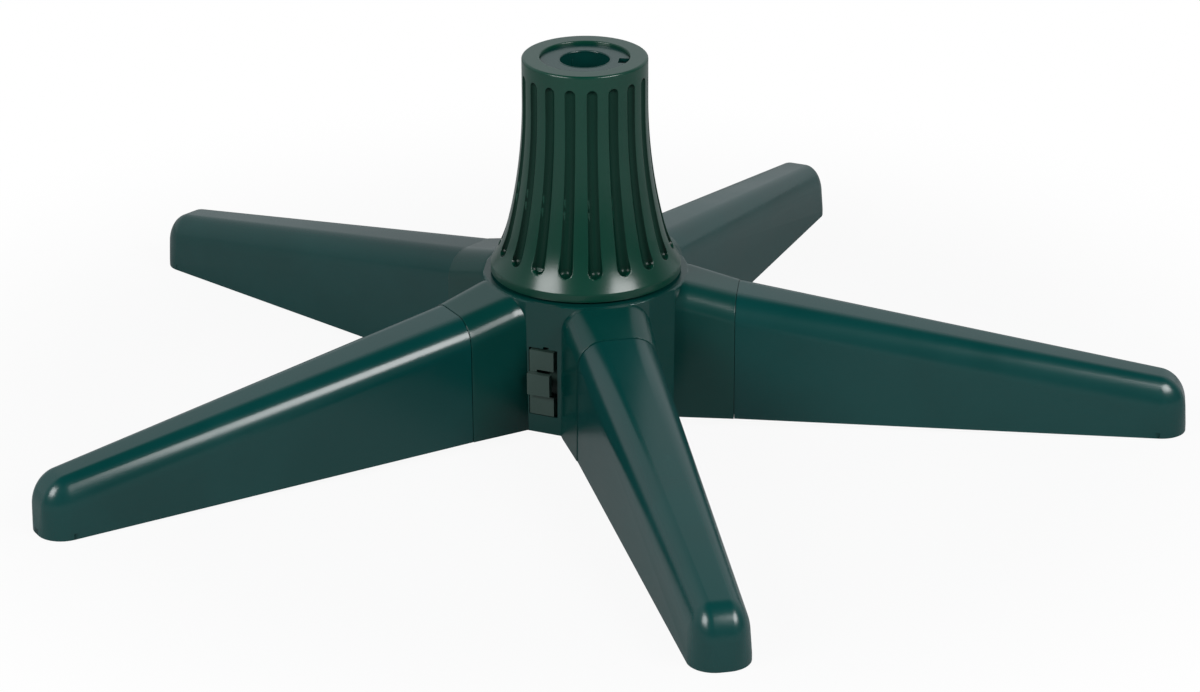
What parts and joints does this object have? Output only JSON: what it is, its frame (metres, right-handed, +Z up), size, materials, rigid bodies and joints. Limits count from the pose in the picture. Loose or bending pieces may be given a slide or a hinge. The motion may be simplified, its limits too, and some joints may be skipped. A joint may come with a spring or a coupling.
{
  "type": "rotating christmas tree stand",
  "caption": "Round motorised stand for an artificial christmas tree: fluted turning collar with a pole bore, hub with a side switch, and plug-in legs that taper to rounded toes.",
  "frame": {"origin": "on the axis of rotation, at floor level", "axes": "+Z up along the axis of rotation; leg 1, the front leg, points along -Y, and legs 2 to 5 follow counter-clockwise seen from above"},
  "size_m": [0.7468, 0.712, 0.243],
  "materials": {
    "shell": "dark green injection-moulded plastic, satin gloss",
    "leg_shell": "dark blue-green injection-moulded plastic, satin gloss",
    "inner_plastic": "dark grey moulded plastic, matt",
    "nylon": "natural nylon",
    "steel": "zinc-plated steel",
    "motor_case": "drawn steel can, bright zinc",
    "rubber": "black rubber"
  },
  "bodies": {
    "base": {"hub_housing": "shell", "base_plate": "shell", "base_screws": "steel", "chassis_plate": "inner_plastic", "chassis_screws": "steel", "lower_bush": "nylon", "gear_motor": "motor_case", "motor_screws": "steel", "lower_race": "steel", "switch_plate": "leg_shell", "switch_body": "inner_plastic", "switch_screws": "steel", "cord_gland": "rubber", "gland_nut": "inner_plastic"},
    "rotor": {"spindle": "inner_plastic", "drive_gear": "nylon", "gear_ring": "steel", "pin_clip": "steel", "upper_race": "steel", "collar": "shell", "collar_screws": "steel"},
    "drive": {"motor_shaft": "steel", "motor_pinion": "nylon"},
    "cage": {"ball_cage": "nylon", "bearing_balls": "steel"},
    "adaptor": {"pole_adaptor": "shell"},
    "slider": {"switch_slider": "leg_shell"},
    "leg_1": {"leg_1": "leg_shell", "foot_pad_1": "rubber"},
    "leg_2": {"leg_2": "leg_shell", "foot_pad_2": "rubber"},
    "leg_3": {"leg_3": "leg_shell", "foot_pad_3": "rubber"},
    "leg_4": {"leg_4": "leg_shell", "foot_pad_4": "rubber"},
    "leg_5": {"leg_5": "leg_shell", "foot_pad_5": "rubber"}
  },
  "joints": [
    {"name": "rotor_spin", "type": "hinge", "parent": "base", "child": "rotor", "pos_m": [0, 0, 0.09], "axis": [0, 0, 1], "continuous": true},
    {"name": "drive_spin", "type": "hinge", "parent": "base", "child": "drive", "pos_m": [0.0428, 0.01391, 0.06], "axis": [0, 0, 1], "continuous": true},
    {"name": "cage_spin", "type": "hinge", "parent": "base", "child": "cage", "pos_m": [0, 0, 0.0906], "axis": [0, 0, 1], "continuous": true},
    {"name": "adaptor_lift", "type": "slide", "parent": "rotor", "child": "adaptor", "axis": [0, 0, 1], "range_m": [0, 0.18]},
    {"name": "switch_slide", "type": "slide", "parent": "base", "child": "slider", "axis": [0, 0, 1], "range_m": [-0.0055, 0.0055]},
    {"name": "leg_1_plug", "type": "slide", "parent": "base", "child": "leg_1", "axis": [0, -1, 0], "range_m": [0, 0.03]},
    {"name": "leg_2_plug", "type": "slide", "parent": "base", "child": "leg_2", "axis": [0.9511, -0.309, 0], "range_m": [0, 0.03]},
    {"name": "leg_3_plug", "type": "slide", "parent": "base", "child": "leg_3", "axis": [0.5878, 0.809, 0], "range_m": [0, 0.03]},
    {"name": "leg_4_plug", "type": "slide", "parent": "base", "child": "leg_4", "axis": [-0.5878, 0.809, 0], "range_m": [0, 0.03]},
    {"name": "leg_5_plug", "type": "slide", "parent": "base", "child": "leg_5", "axis": [-0.9511, -0.309, 0], "range_m": [0, 0.03]}
  ],
  "couplings": [
    {"joint": "drive_spin", "follows": "rotor_spin", "ratio": -3.5},
    {"joint": "cage_spin", "follows": "rotor_spin", "ratio": 0.5}
  ]
}
